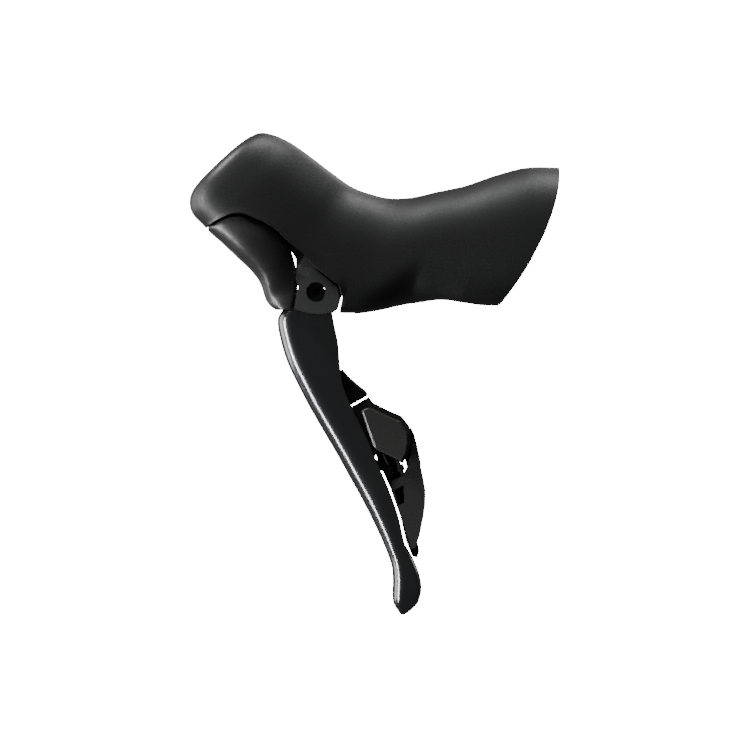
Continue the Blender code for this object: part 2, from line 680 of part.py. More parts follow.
def electronics():
    """Coin cell behind its cover, the board on the other side, and the wire port's plug."""
    cell = turned("coin_cell", [(0, 7.4), (0.4, 8.0), (2.4, 8.0), (2.4, 7.0), (3.1, 7.0)],
                  CELL, (0, 1, 0), 28)
    finish(cell, "coin_cell", "steel")
    cover = bevelled(block("cell_cover", (-30.3, -10.7, 0), (22.2, 1.0, 16.2)), 0.3)
    for x, z in CELL_SCREWS:
        cover = cut(cover, rod("hole", (x, -5, z), (x, -14, z), 0.95, 12))
    finish(cover, "cell_cover", "body_resin")
    for i, (x, z) in enumerate(CELL_SCREWS):
        screw = turned("screw", [(0, 0.75), (4.1, 0.75), (4.1, 1.4), (4.5, 1.2)],
                       (x, -7.2, z), (0, -1, 0), 12)
        finish(screw, f"cell_cover_screw_{i + 1}", "steel")
    board = block("circuit_board", (-31, 10.6, 1.0), (21, 1.0, 13))
    for x, z, wide, tall in ((-35.5, 2.6, 5.0, 5.0), (-27.0, 3.6, 3.4, 2.6), (-27.5, -1.8, 4.4, 2.4)):
        board = join(board, block("chip", (x, 11.25, z), (wide, 0.7, tall)))
    finish(board, "circuit_board", "circuit")
    plug = turned("wire_port_plug", [(0, 1.6), (0.5, 2.0), (6.5, 2.0), (7.0, 1.5)],
                  PLUG_PORT + HOSE_DIR * 2, HOSE_DIR, 16)
    finish(plug, "wire_port_plug", "seal_rubber")


# ---------------------------------------------------------------- hydraulic parts
def horn_block(name, deep, size):
    """A block square to the horn's end face. Its size is depth, width, height."""
    return block(name, in_horn(deep), size, HORN_TILT)


def reservoir():
    """The reservoir's folded diaphragm and its lid with four screws, and the bleed screw."""
    diaphragm = horn_block("reservoir_diaphragm", 10.1, (6.6, 12.8, 12.2))
    diaphragm = cut(diaphragm, horn_block("hollow", 8.4, (7.8, 10.4, 9.8)))
    finish(diaphragm, "reservoir_diaphragm", "seal_rubber")
    corners = [(up, y) for up in (-4.6, 4.6) for y in (-4.9, 4.9)]
    lid = horn_block("reservoir_lid", 5.7, (1.4, 12.8, 12.2))
    for up, y, radius in [(up, y, 0.95) for up, y in corners] + [(0, 0, 1.4)]:
        lid = cut(lid, rod("hole", in_horn(2, up, y), in_horn(9, up, y), radius, 12))
    finish(lid, "reservoir_lid", "alloy")
    for i, (up, y) in enumerate(corners):
        screw = turned("screw", [(0, 0.75), (1.9, 0.75), (1.9, 1.5), (2.6, 1.3)],
                       in_horn(6.6, up, y), in_horn(-1) - in_horn(0), 12)
        finish(screw, f"reservoir_screw_{i + 1}", "steel")
    bleed = turned("bleed_screw", [(0, 1.1), (2.0, 1.1), (2.0, 2.3), (3.5, 2.3)],
                   in_horn(6.7), in_horn(-1) - in_horn(0), 16)
    bleed = cut(bleed, rod("hex", in_horn(4.2), in_horn(-2), 1.2, 6))
    finish(bleed, "bleed_screw", "black_steel")


def tube(name, start, direction, inner, outer, length, look, sides=24, pivot=None):
    """A short tube along a line."""
    along = Vector(direction).normalized()
    obj = rod(name, start, start + along * length, outer, sides)
    obj = cut(obj, rod("inside", start - along, start + along * (length + 1), inner, sides))
    return finish(obj, name, look, pivot)


def master_cylinder():
    """Sleeve, piston, seals, spring and stop ring on one inclined axis, and the hose port."""
    sleeve = turned("master_cylinder", [(0, SLEEVE_RADIUS), (27.0, SLEEVE_RADIUS), (28.2, 5.2)],
                    on_cylinder(6.4), CYLINDER_DIR, 32)
    sleeve = cut(
        sleeve, rod("bore", on_cylinder(2), on_cylinder(32.8), BORE_RADIUS, 32),
        rod("outlet", on_cylinder(30), on_cylinder(40), 1.1, 12),
    )
    finish(sleeve, "master_cylinder", "alloy")
    piston = turned(
        "master_piston",
        [(0, 4.5), (1.8, 4.5), (1.8, 3.3), (3.9, 3.3), (3.9, 4.5), (8.3, 4.5), (8.3, 3.3),
         (10.4, 3.3), (10.4, 4.5), (11.8, 4.5), (11.8, 2.2), (13.2, 2.0)],
        on_cylinder(9.8), CYLINDER_DIR, 24,
    )
    piston = cut(piston, rod("cup", on_cylinder(8), on_cylinder(13.5), 2.3, 20))
    finish(piston, "master_piston", "alloy", on_cylinder(9.8))
    for name, along in (("secondary_seal", 11.75), ("primary_seal", 18.25)):
        tube(name, on_cylinder(along), CYLINDER_DIR, 3.45, 4.68, 1.8, "seal_rubber", 20, on_cylinder(9.8))
    tube("piston_stop_ring", on_cylinder(8.3), CYLINDER_DIR, 3.2, 4.6, 1.0, "steel", 20)
    spring = coil("piston_spring", AXIS_FOOT, CYLINDER_DIR, 3.3, 22.1, 32.2, 5, 0.4)
    finish(spring, "piston_spring", "steel", on_cylinder(32.2))
    fitting = turned("hose_fitting", [(0, 2.1), (0.4, 2.5), (9.0, 2.5)],
                     HOSE_PORT + HOSE_DIR * 0.6, HOSE_DIR, 24)
    fitting = cut(fitting, rod("hose_hole", HOSE_PORT + HOSE_DIR * 2, HOSE_PORT + HOSE_DIR * 20, 1.5, 16))
    finish(fitting, "hose_fitting", "brass")


def push_rod():
    """The rod from the trunnion to the piston's cup, and the trunnion's pin."""
    x, z = TRUNNION
    rod_body = turned(
        "push_rod",
        [(-2.6, 1.6), (-2.2, 2.4), (2.2, 2.4), (3.6, 1.6), (13.4, 1.6), (14.4, 1.3), (15.0, 0.6)],
        (x, 0, z), CYLINDER_DIR, 20,
    )
    rod_body = cut(rod_body, rod("eye", (x, -6, z), (x, 6, z), 1.35, 16))
    finish(rod_body, "push_rod", "steel", (x, 0, z))
    finish(rod("trunnion_pin", (x, -4.4, z), (x, 4.4, z), 1.2, 20), "trunnion_pin", "steel", (x, 0, z))


# ---------------------------------------------------------------- lever mechanism
def axle():
    """The lever's axle with its D-shaped heads and hex sockets, and its two bushes."""
    x, z = PIVOT
    half = CHEEK_OUTER - 1.0
    pin = rod("lever_axle", (x, -half, z), (x, half, z), AXLE_RADIUS, 28)
    for side in (-1, 1):
        key = arc(PIVOT, AXLE_RADIUS + 0.2, 44, 316, 15)
        pin = join(pin, plate("key", key, side * (half - 0.35), side * half))
        pin = cut(pin, rod("hex", (x, side * (half - 1.8), z), (x, side * 20, z), 1.3, 6))
    finish(pin, "lever_axle", "black_steel")
    for name, side in (("axle_bush_inboard", -1), ("axle_bush_outboard", 1)):
        tube(name, Vector((x, side * 4.95, z)), (0, side, 0), AXLE_RADIUS + 0.1, 3.6, 3.7, "brass", 24)


def link_arm():
    """The arm on the axle that turns the lever's pull into the push rod's stroke."""
    centre = (PIVOT[0], 0, PIVOT[1])
    x, z = TRUNNION
    tongue = [(-57.2, -13.9), (-57.4, -18.7), (-54.6, -18.3)]
    outline = arc(PIVOT, 4.9, 75, 172, 8) + tongue + arc(PIVOT, 4.9, 262, 300, 4)
    outline += arc(TRUNNION, 2.8, -75, 105, 9)
    arm = plate("link_arm", outline, -4.6, 4.6)
    arm = cut(
        arm, rod("axle_hole", (PIVOT[0], -8, PIVOT[1]), (PIVOT[0], 8, PIVOT[1]), AXLE_RADIUS + 0.1, 28),
        rod("pin_hole", (x, -8, z), (x, 8, z), 1.3, 16),
        block("fork", (x, 0, z), (12.0, 5.4, 9.6), math.pi / 2 - CYLINDER_ANGLE),
    )
    finish(arm, "link_arm", "alloy", centre)


def lever_spring():
    """The flat torsion spring round the outboard bush, which brings the lever back."""
    x, z = PIVOT
    spring = coil("lever_return_spring", (x, 0, z), (0, 1, 0), 4.3, 7.5, 8.5, 1, 0.35, 20)
    finish(spring, "lever_return_spring", "steel")


# ---------------------------------------------------------------- blade and front cover
FLAT_BLADE = [flat(row) for row in BLADE]
FLAT_COVER = [flat(row) for row in COVER]


def blade_section(t, nose=4):
    """The blade's closed cross-section at station t: a U that fills up towards the tip."""
    fx, fz, cx, cz, rx, rz, half, depth, sweep = blend(FLAT_BLADE, t)
    front, crease, rear = Vector((fx, fz)), Vector((cx, cz)), Vector((rx, rz))
    back = (rear - front).normalized()
    wall = min(BLADE_WALL, half * 0.45)
    bulge = 1.4 * (1 - depth) * min(1.0, half / 5)
    outer, inner = [], []
    for i in range(-nose, nose + 1):
        angle = math.pi / 2 * i / nose
        share = math.cos(angle) ** 0.8
        outer.append((crease.lerp(front, share), half * math.sin(angle)))
        floor = (crease + back * wall * 0.6).lerp(front + back * wall, share)
        open_end = rear + back * bulge * math.cos(angle)
        inner.append((open_end.lerp(floor, depth), (half - wall) * math.sin(angle)))
    outer = [(rear, -half), (crease.lerp(rear, 0.5), -half)] + outer
    outer += [(crease.lerp(rear, 0.5), half), (rear, half)]
    inner = [(rear, half - wall)] + inner[::-1] + [(rear, wall - half)]
    return [at(point.x, y + sweep, point.y) for point, y in outer + inner]


def lever_blade():
    """The brake lever: a channel that closes into a rounded tip, with two ears on the axle."""
    centre = (PIVOT[0], 0, PIVOT[1])
    stations = [0, 0.5, 1, 1.5, 2, 2.6, 3.3, 4, 4.6, 5.3, 6, 7, 8, 9, 9.7, 10.4, 11, 11.6, 12.2, 12.7, 13.2]
    stations += [13.8, 14.4, 15, 15.5, 16, 16.5, 17, 17.4, 17.8, 18]
    blade = loft("lever_blade", [blade_section(t) for t in stations])
    for side in (-1, 1):
        outline = arc(PIVOT, 5.4, -50, 200, 15) + [(-60.6, -15.6), (-60.2, -19.0), (-49.3, -19.0)]
        blade = join(blade, plate("ear", outline, side * 5.25, side * 6.95))
    blade = join(blade, plate("cover_tab", COVER_TAB, -4.0, 4.0))
    blade = cut(
        blade, rod("axle_hole", (PIVOT[0], -12, PIVOT[1]), (PIVOT[0], 12, PIVOT[1]), 3.75, 28),
        rod("reach_hole", REACH_SCREW - Vector((7, 0, 0)), REACH_SCREW + Vector((5.1, 0, 0)), 1.6, 16),
        rod("screw_hole", COVER_BOSS - COVER_OUT * 3, COVER_BOSS + COVER_OUT * 4, 1.1, 12),
    )
    finish(blade, "lever_blade", "blade_metal", centre, 30)
    screw = rod("reach_adjust_screw", REACH_SCREW, REACH_SCREW + Vector((4.6, 0, 0)), 1.4, 16)
    hex_depth = Vector((1.4, 0, 0))
    screw = cut(screw, rod("hex", REACH_SCREW - hex_depth, REACH_SCREW + hex_depth, 0.8, 6))
    finish(screw, "reach_adjust_screw", "black_steel", centre)
    screw = turned("screw", [(0, 0.85), (3.8, 0.85), (3.8, 1.7), (4.6, 1.5)],
                   COVER_BOSS + COVER_OUT * 2.3, -COVER_OUT, 12)
    finish(screw, "front_cover_screw", "steel", centre)


def cover_section(t, spread=7):
    """The front cover's U-shaped section at t, from its inboard edge to its outboard edge."""
    fx, fz, ex, ez, half = blend(FLAT_COVER, t)
    front, edge = Vector((fx, fz)), Vector((ex, ez))
    points = []
    for i in range(-spread, spread + 1):
        angle = math.pi / 2 * i / spread
        side = math.copysign(abs(math.sin(angle)) ** COVER_SQUARE, math.sin(angle))
        place = edge.lerp(front, math.cos(angle) ** COVER_SQUARE)
        points.append(at(place.x, half * side, place.y))
    return points


def front_cover():
    """The moulded cover over the lever's top, which moves with the blade."""
    count = 16
    rows = [cover_section((len(COVER) - 1) * i / count) for i in range(count + 1)]
    cover = loft("front_cover", rows, closed=False, caps=False)
    wall = cover.modifiers.new("wall", "SOLIDIFY")
    wall.thickness = COVER_WALL * MM
    wall.offset = -1
    cover = applied(cover)
    finish(cover, "front_cover", "cover_gloss", (PIVOT[0], 0, PIVOT[1]))


# ---------------------------------------------------------------- shift switch and buttons
def switch_unit():
    """The switch housing in the back of the blade, its cover, screws and cable boot."""
    centre = (PIVOT[0], 0, PIVOT[1])
    housing = join(plate("switch_housing", HOUSING, -2.4, 4.2), plate("foot", HOUSING_FOOT, -1.6, 4.0))
    housing = cut(housing, rod("spring_pocket", SPRING_SEAT, SPRING_SEAT + Vector((0, 9, 0)), 1.8, 16))
    for pin, radius in ((FRONT_PIN, 0.9), (REAR_PIN, 0.9)):
        housing = cut(housing, rod("pin_hole", pin - BUTTON_DIR * 4.0, pin + BUTTON_DIR * 12, radius, 14))
    finish(housing, "switch_housing", "switch_resin", centre)
    face = bevelled(plate("switch_cover", SWITCH_FACE, -2.8, -5.2), 0.6)
    finish(face, "switch_cover", "switch_resin", centre)
    boot = turned("cable_boot", [(0, 4.2), (0.6, 4.6), (2.0, 4.4), (4.4, 3.4), (8.0, 2.2), (11.2, 1.5)],
                  BOOT, BOOT_DIR, 20)
    flatten = Matrix.Scale(0.7, 4, (0, 1, 0))
    boot.data.transform(Matrix.Translation(BOOT * MM) @ flatten @ Matrix.Translation(-BOOT * MM))
    finish(boot, "cable_boot", "seal_rubber", centre)
    route = [BOOT + BOOT_DIR * 12.0, Vector((-46.8, 0.6, -31.0)), Vector((-49.2, 0.3, -25.5)),
             Vector((-50.6, 0.0, -21.5)), Vector((-51.2, 0.0, -18.3))]
    finish(wire("switch_cable", route, 0.9), "switch_cable", "seal_rubber", centre)


def buttons():
    """Two shift buttons, each on a pin along the blade, with the pins."""
    front = join(plate("front_button", FRONT_BUTTON, 4.9, 8.2), plate("arm", FRONT_ARM, 0.2, 6.0))
    front = cut(front, rod("hole", FRONT_PIN, FRONT_PIN + BUTTON_DIR * 20, 0.95, 14))
    finish(front, "front_button", "switch_resin", FRONT_PIN)
    rear = join(
        plate("rear_button", REAR_BUTTON, -2.6, 3.6), plate("pad", REAR_PAD, 2.0, 7.6),
        plate("top", REAR_TOP, 5.0, 7.6),
    )
    rear = cut(rear, plate("window", WINDOW, -8, 1.5))
    rear = cut(rear, rod("hole", REAR_PIN, REAR_PIN + BUTTON_DIR * 22, 0.95, 14))
    finish(rear, "rear_button", "switch_resin", REAR_PIN)
    spring = coil("front_button_spring", SPRING_SEAT, (0, 1, 0), 1.3, 0.5, 3.0, 3, 0.22, 10)
    finish(spring, "front_button_spring", "steel", FRONT_PIN)
    spring = coil("rear_button_spring", REAR_PIN, BUTTON_DIR, 1.35, 6.4, 8.4, 4, 0.2, 10)
    finish(spring, "rear_button_spring", "steel", REAR_PIN)
    for name, pin, length in (("front_button_pin", FRONT_PIN, 10.4), ("rear_button_pin", REAR_PIN, 19.0)):
        finish(rod(name, pin - BUTTON_DIR * 3.6, pin + BUTTON_DIR * length, 0.75, 16), name, "steel")


def build():
    hood_cover()
    bracket_body()
    clamp()
    electronics()
    reservoir()
    master_cylinder()
    push_rod()
    axle()
    link_arm()
    lever_spring()
    lever_blade()
    front_cover()
    switch_unit()
    buttons()


build()
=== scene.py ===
# %% [markdown]
# # A road-bike brake and shift lever
#
# The real object is a moulded bracket that a steel band clamps to the handlebar, a rubber hood
# stretched over it, and a dark metal brake blade that hangs from a pivot at the front. Two small
# buttons behind the blade shift gears. The engineering model gives every solid and every motion.
# This lesson dresses it: the parts that are seen get finer shapes, and each part gets a finish.
# Loading comes first, because all places are read from that frame or are in its coordinates.

# %% Load the frame
import json
import math

import bmesh
import bpy
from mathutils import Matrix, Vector


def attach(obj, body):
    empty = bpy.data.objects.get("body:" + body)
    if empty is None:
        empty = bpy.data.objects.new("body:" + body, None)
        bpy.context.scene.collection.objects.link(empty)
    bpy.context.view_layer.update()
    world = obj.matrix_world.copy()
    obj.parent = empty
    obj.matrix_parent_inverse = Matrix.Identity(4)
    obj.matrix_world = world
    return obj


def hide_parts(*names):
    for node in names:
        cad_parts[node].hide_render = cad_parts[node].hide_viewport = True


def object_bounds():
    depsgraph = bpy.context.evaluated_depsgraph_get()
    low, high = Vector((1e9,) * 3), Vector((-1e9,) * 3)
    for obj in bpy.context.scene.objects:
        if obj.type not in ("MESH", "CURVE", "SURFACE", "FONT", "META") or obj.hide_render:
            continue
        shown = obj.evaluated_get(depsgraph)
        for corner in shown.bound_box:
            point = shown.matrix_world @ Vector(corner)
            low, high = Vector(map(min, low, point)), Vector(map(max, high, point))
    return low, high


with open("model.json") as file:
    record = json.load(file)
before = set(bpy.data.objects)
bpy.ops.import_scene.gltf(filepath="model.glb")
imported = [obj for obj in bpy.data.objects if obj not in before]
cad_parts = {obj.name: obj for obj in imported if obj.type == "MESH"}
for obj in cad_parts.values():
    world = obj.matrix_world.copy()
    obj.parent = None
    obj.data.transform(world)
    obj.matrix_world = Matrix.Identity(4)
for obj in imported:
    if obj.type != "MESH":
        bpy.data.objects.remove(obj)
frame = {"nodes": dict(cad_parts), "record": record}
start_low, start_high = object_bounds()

MM = 0.001

# %% [markdown]
# ## Camera
#
# A side view shows the lever's outline best. A near camera would spread the near flank over the
# far one, and an orthographic camera would lose all depth, so a long lens stands far off and
# looks straight along the Y axis. The lens follows from the width that is to be seen at the
# lever's middle plane and from the distance.

# %% Camera
VIEW_WIDTH = 236.25 * MM
CAMERA_DISTANCE = 1.5
CENTRE = Vector((-0.0343, 0, -0.0383))


def side_camera():
    """A camera on the inboard side, level with the picture's centre."""
    data = bpy.data.cameras.new("side_view")
    data.lens = data.sensor_width * CAMERA_DISTANCE / VIEW_WIDTH
    data.clip_end = 50
    camera = bpy.data.objects.new("side_view", data)
    camera.location = CENTRE + Vector((0, -CAMERA_DISTANCE, 0))
    camera.rotation_euler = (math.pi / 2, 0, 0)
    bpy.context.scene.collection.objects.link(camera)
    bpy.context.scene.camera = camera
    print(f"lens {data.lens:.0f} mm")


side_camera()

# %% [markdown]
# ## Floor and light
#
# Black rubber and dark metal are drawn by what they mirror, so the light comes from a few large
# soft panels: one high in front for the shoulder of the hood, one overhead for its back, a
# narrow one at the left that runs down the blade, and weak ones beside and behind. Point lamps
# would give hard dots instead. The floor and the sky are pale, and the floor is hidden from
# mirror and diffuse rays, because a white floor would wash the dark parts out from below.

# %% Floor and light
FLOOR_DROP = 0.45
FLOOR_REACH = 9
WHITE_GLOW = 24.0
SKY_LIGHT = 0.07
# Each panel: name, place, width and height in metres, power in watts.
PANELS = [
    ("horn_key", (-0.60, -0.20, 0.72), (0.26, 0.20), 15.0),
    ("overhead", (0.16, -0.06, 0.98), (0.9, 0.26), 9.0),
    ("left_strip", (-0.90, -0.16, -0.30), (0.07, 0.8), 16.0),
    ("left_wide", (-1.1, 0.55, -0.05), (0.6, 0.9), 6.0),
    ("back_fill", (0.5, 0.9, 0.5), (0.8, 0.8), 4.0),
]


def pale_floor():
    """A plain floor that glows white in the picture and lights nothing."""
    mesh = bpy.data.meshes.new("floor")
    height = start_low.z - FLOOR_DROP
    signs = [(-1, -1), (1, -1), (1, 1), (-1, 1)]
    corners = [(x * FLOOR_REACH, y * FLOOR_REACH, height) for x, y in signs]
    mesh.from_pydata(corners, [], [(0, 1, 2, 3)])
    floor = bpy.data.objects.new("floor", mesh)
    bpy.context.scene.collection.objects.link(floor)
    material = bpy.data.materials.new("pale_floor")
    material.use_nodes = True
    shader = material.node_tree.nodes["Principled BSDF"]
    shader.inputs["Base Color"].default_value = (0.8, 0.8, 0.8, 1)
    shader.inputs["Roughness"].default_value = 0.9
    shader.inputs["Specular IOR Level"].default_value = 0.0
    shader.inputs["Emission Color"].default_value = (1, 1, 1, 1)
    shader.inputs["Emission Strength"].default_value = WHITE_GLOW
    mesh.materials.append(material)
    floor.visible_glossy = False
    floor.visible_diffuse = False


def panel(name, place, size, power):
    """A soft panel that faces the lever."""
    data = bpy.data.lights.new(name, "AREA")
    data.shape = "RECTANGLE"
    data.size, data.size_y = size
    data.energy = power
    light = bpy.data.objects.new(name, data)
    light.location = place
    light.rotation_euler = (CENTRE - Vector(place)).to_track_quat("-Z", "Y").to_euler()
    bpy.context.scene.collection.objects.link(light)


def pale_sky(seen, ambient):
    """White where it is seen, and dimmer as a light."""
    world = bpy.data.worlds.new("studio")
    bpy.context.scene.world = world
    world.use_nodes = True
    nodes, links = world.node_tree.nodes, world.node_tree.links
    path = nodes.new("ShaderNodeLightPath")
    bright = nodes.new("ShaderNodeBackground")
    bright.inputs["Strength"].default_value = seen
    dim = nodes["Background"]
    dim.inputs["Color"].default_value = (1, 1, 1, 1)
    dim.inputs["Strength"].default_value = ambient
    mix = nodes.new("ShaderNodeMixShader")
    links.new(path.outputs["Is Camera Ray"], mix.inputs[0])
    links.new(dim.outputs[0], mix.inputs[1])
    links.new(bright.outputs[0], mix.inputs[2])
    links.new(mix.outputs[0], nodes["World Output"].inputs["Surface"])


pale_floor()
pale_sky(WHITE_GLOW, SKY_LIGHT)
for entry in PANELS:
    panel(*entry)
print(f"{len(PANELS)} panels, a sky and a floor")

# %% [markdown]
# ## Writing materials as sums
#
# A material is a small calculation: a place on the part goes in, and a colour, a roughness or a
# tilt of the surface comes out. Blender draws that as a net of boxes, which is slow to build by
# hand. Here one class stands for a box's output, so that 1 - mask adds the box for us, and a
# second class holds the material that is being written.

# %% Shader helpers


class Signal:
    """An output in a material. Arithmetic on it adds Math nodes."""

    def __init__(self, finish, socket):
        self.finish = finish
        self.socket = socket

    def math(self, operation, first, second):
        return self.finish.node("ShaderNodeMath", {"operation": operation}, {0: first, 1: second})

    def __add__(self, other):
        return self.math("ADD", self, other)

    def __radd__(self, other):
        return self.math("ADD", other, self)

    def __sub__(self, other):
        return self.math("SUBTRACT", self, other)

    def __rsub__(self, other):
        return self.math("SUBTRACT", other, self)

    def __mul__(self, other):
        return self.math("MULTIPLY", self, other)

    def __rmul__(self, other):
        return self.math("MULTIPLY", other, self)


class Finish:
    """A material that is being written, around one Principled shader."""

    def __init__(self, name, constants):
        self.material = bpy.data.materials.new(name)
        self.material.use_nodes = True
        self.tree = self.material.node_tree
        self.shader = self.tree.nodes["Principled BSDF"]
        for socket, value in constants.items():
            self.shader.inputs[socket].default_value = value
        self.place = self.node("ShaderNodeTexCoord", output="Object")

    def node(self, kind, settings=None, inputs=None, output=0):
        """Any node: its settings, then its sockets, and the output that is wanted."""
        made = self.tree.nodes.new(kind)
        for key, value in (settings or {}).items():
            if key == "stops":
                elements = made.color_ramp.elements
                elements[0].position, elements[0].color = value[0]
                elements[1].position, elements[1].color = value[-1]
                for position, colour in value[1:-1]:
                    elements.new(position).color = colour
            else:
                setattr(made, key, value)
        for key, value in (inputs or {}).items():
            if isinstance(value, Signal):
                self.tree.links.new(value.socket, made.inputs[key])
            else:
                made.inputs[key].default_value = value
        return Signal(self, made.outputs[output])

    def noise(self, scale, detail=2.0, stretch=None, turn=(0, 0, 0)):
        """Even noise on the part, its scale in cycles per metre."""
        place = self.place
        if stretch:
            inputs = {"Vector": place, "Rotation": turn, "Scale": stretch}
            place = self.node("ShaderNodeMapping", inputs=inputs)
        inputs = {"Vector": place, "Scale": scale, "Detail": detail}
        return self.node("ShaderNodeTexNoise", inputs=inputs)

    def cells(self, scale):
        """The distance to the nearest of many scattered points."""
        return self.node("ShaderNodeTexVoronoi", inputs={"Vector": self.place, "Scale": scale})

    def mix(self, share, first, second):
        """A colour between two, by a share."""
        settings = {"data_type": "RGBA"}
        return self.node("ShaderNodeMix", settings, {0: share, 6: first, 7: second}, output=2)

    def ramp(self, value, low, high):
        """The value spread from 0 to 1 between low and high."""
        inputs = {"Value": value, "From Min": low, "From Max": high}
        return self.node("ShaderNodeMapRange", inputs=inputs)

    def set(self, socket, value):
        """Feeds a varying value to the shader."""
        self.tree.links.new(value.socket, self.shader.inputs[socket])

    def bump(self, height, depth):
        """Relief, its depth in millimetres."""
        inputs = {"Height": height, "Distance": depth * MM, "Strength": 1.0}
        self.set("Normal", self.node("ShaderNodeBump", inputs=inputs))


def grey(value, warmth=0.0):
    """A grey, redder or bluer by its warmth."""
    return (value * (1 + warmth), value, value * (1 - warmth), 1)


print("shader helpers ready")

# %% [markdown]
# ## Rubber, resin and seals
#
# The hood is matt rubber with a leathery micro-grain, a little worn where a palm rubs it. The
# moulded parts are glass-filled resin, whose tool was spark-eroded, so they sparkle finely. A
# painted image would have to be unwrapped onto every part, and noise needs only a place, so
# noise makes both. The grain goes to the bump, and a slower noise varies colour and roughness.

# %% Rubber, resin and seals


def rubber_finish():
    finish = Finish("hood_rubber", {"Specular IOR Level": 0.42})
    wear = finish.ramp(finish.noise(38, 4), 0.4, 0.72)
    grain = finish.cells(2300)
    pores = finish.noise(5200, 1)
    finish.set("Base Color", finish.mix(wear, grey(0.010, -0.04), grey(0.014, -0.03)))
    finish.set("Roughness", 0.46 - wear * 0.05 + pores * 0.05)
    finish.bump(grain * 0.7 + pores * 0.5, 0.028)
    return finish.material


def resin_finish(name, shade, roughness, warmth=0.0):
    finish = Finish(name, {"Specular IOR Level": 0.5})
    cloud = finish.noise(60, 3)
    spark = finish.noise(4200, 2)
    flow = finish.noise(30, 2, (1, 6, 6), (0, 0.6, 0))
    base = finish.mix(cloud, grey(shade * 0.9, warmth), grey(shade * 1.12, warmth))
    finish.set("Base Color", finish.mix(flow * 0.3, base, grey(shade * 1.35, warmth)))
    finish.set("Roughness", roughness + (spark - 0.5) * 0.2 + (cloud - 0.5) * 0.08)
    finish.bump(spark, 0.022)
    return finish.material


def seal_finish():
    finish = Finish("seal_rubber", {"Specular IOR Level": 0.35})
    dust = finish.ramp(finish.noise(240, 5), 0.5, 0.75)
    finish.set("Base Color", finish.mix(dust, grey(0.013), grey(0.030, 0.02)))
    finish.set("Roughness", 0.55 + dust * 0.2)
    finish.bump(finish.noise(1500, 3), 0.03)
    return finish.material


RUBBER_LOOK = rubber_finish()
BRACKET_LOOK = resin_finish("bracket_resin", 0.040, 0.42, -0.02)
COVER_LOOK = resin_finish("cover_resin", 0.022, 0.36, 0.0)
SWITCH_LOOK = resin_finish("switch_resin", 0.030, 0.46, 0.02)
SEAL_LOOK = seal_finish()
print("rubber, resins and seals written")

# %% [markdown]
# ## Metals
#
# The blade is forged aluminium under a dark anodised coat. Its streaks run down the blade and
# are so fine that only the edge of a highlight shows them. The small metal parts could each
# have a material of their own, but one recipe does for all: noise squeezed into fine lines, as
# a cutting tool leaves, and stains. Steel, brass and raw alloy differ in colour, in roughness
# and in how open their grain is.

# %% Metals
BLADE_SLOPE = math.radians(28)


def blade_finish():
    coat = {"Coat Weight": 0.35, "Coat Roughness": 0.12}
    finish = Finish("blade_anodised", {"Metallic": 0.95} | coat)
    streaks = finish.noise(1500, 2, (1, 1, 0.02), (0, BLADE_SLOPE, 0))
    cloud = finish.noise(45, 3)
    finish.set("Base Color", finish.mix(cloud, grey(0.135, -0.05), grey(0.175, -0.04)))
    finish.set("Roughness", 0.24 + (streaks - 0.5) * 0.08 + (cloud - 0.5) * 0.05)
    finish.bump(streaks, 0.0008)
    return finish.material


def metal_finish(name, colour, roughness, grain):
    finish = Finish(name, {"Metallic": 1.0})
    lines = finish.noise(grain, 2, (1, 0.06, 1))
    stain = finish.ramp(finish.noise(170, 5), 0.35, 0.8)
    dark = tuple(value * 0.72 for value in colour) + (1,)
    finish.set("Base Color", finish.mix(stain, tuple(colour) + (1,), dark))
    finish.set("Roughness", roughness + (lines - 0.5) * 0.22 + stain * 0.1)
    finish.bump(lines, 0.006)
    return finish.material


BLADE_LOOK = blade_finish()
STEEL_LOOK = metal_finish("turned_steel", (0.50, 0.50, 0.51), 0.30, 2600)
DARK_STEEL_LOOK = metal_finish("black_oxide", (0.050, 0.050, 0.055), 0.38, 2600)
ALLOY_LOOK = metal_finish("machined_alloy", (0.58, 0.59, 0.61), 0.34, 1800)
BRASS_LOOK = metal_finish("turned_brass", (0.62, 0.44, 0.17), 0.30, 2200)
print("metals written")

# %% [markdown]
# ## The circuit board
#
# A board is green lacquer over copper tracks, with tinned pads. The tracks could be drawn one by
# one, but the board is hardly seen, so they come from a wave along the board and the pads from
# cells.

# %% The circuit board


def board_finish():
    finish = Finish("board_lacquer", {"Specular IOR Level": 0.5})
    bands = finish.node(
        "ShaderNodeTexWave", {"bands_direction": "X"},
        {"Vector": finish.place, "Scale": 210.0, "Distortion": 2.2, "Detail": 0.0},
    )
    tracks = finish.ramp(bands, 0.72, 0.8)
    pads = 1 - finish.ramp(finish.cells(420), 0.16, 0.2)
    green = finish.mix(tracks, (0.008, 0.07, 0.03, 1), (0.02, 0.15, 0.06, 1))
    finish.set("Base Color", finish.mix(pads, green, (0.55, 0.54, 0.5, 1)))
    finish.set("Metallic", pads)
    finish.set("Roughness", 0.34 + pads * 0.1)
    finish.bump(tracks + pads, 0.03)
    return finish.material


BOARD_LOOK = board_finish()
print("board written")

# %% [markdown]
# ## Building meshes
#
# Sculpting would give soft, uneven shapes, and these are made in tools, so the pieces are skins
# stretched over rows of points and plates cut from flat outlines. One helper turns rows into
# quads, another makes a flat outline as thick as it needs to be, and a third bakes the
# modifiers, so that a finished piece is a plain mesh whose place is in its points.

# %% Mesh helpers
HOLE_SIDES = 32


def link(name, data):
    """A new object in the scene."""
    made = bpy.data.objects.new(name, data)
    bpy.context.scene.collection.objects.link(made)
    return made


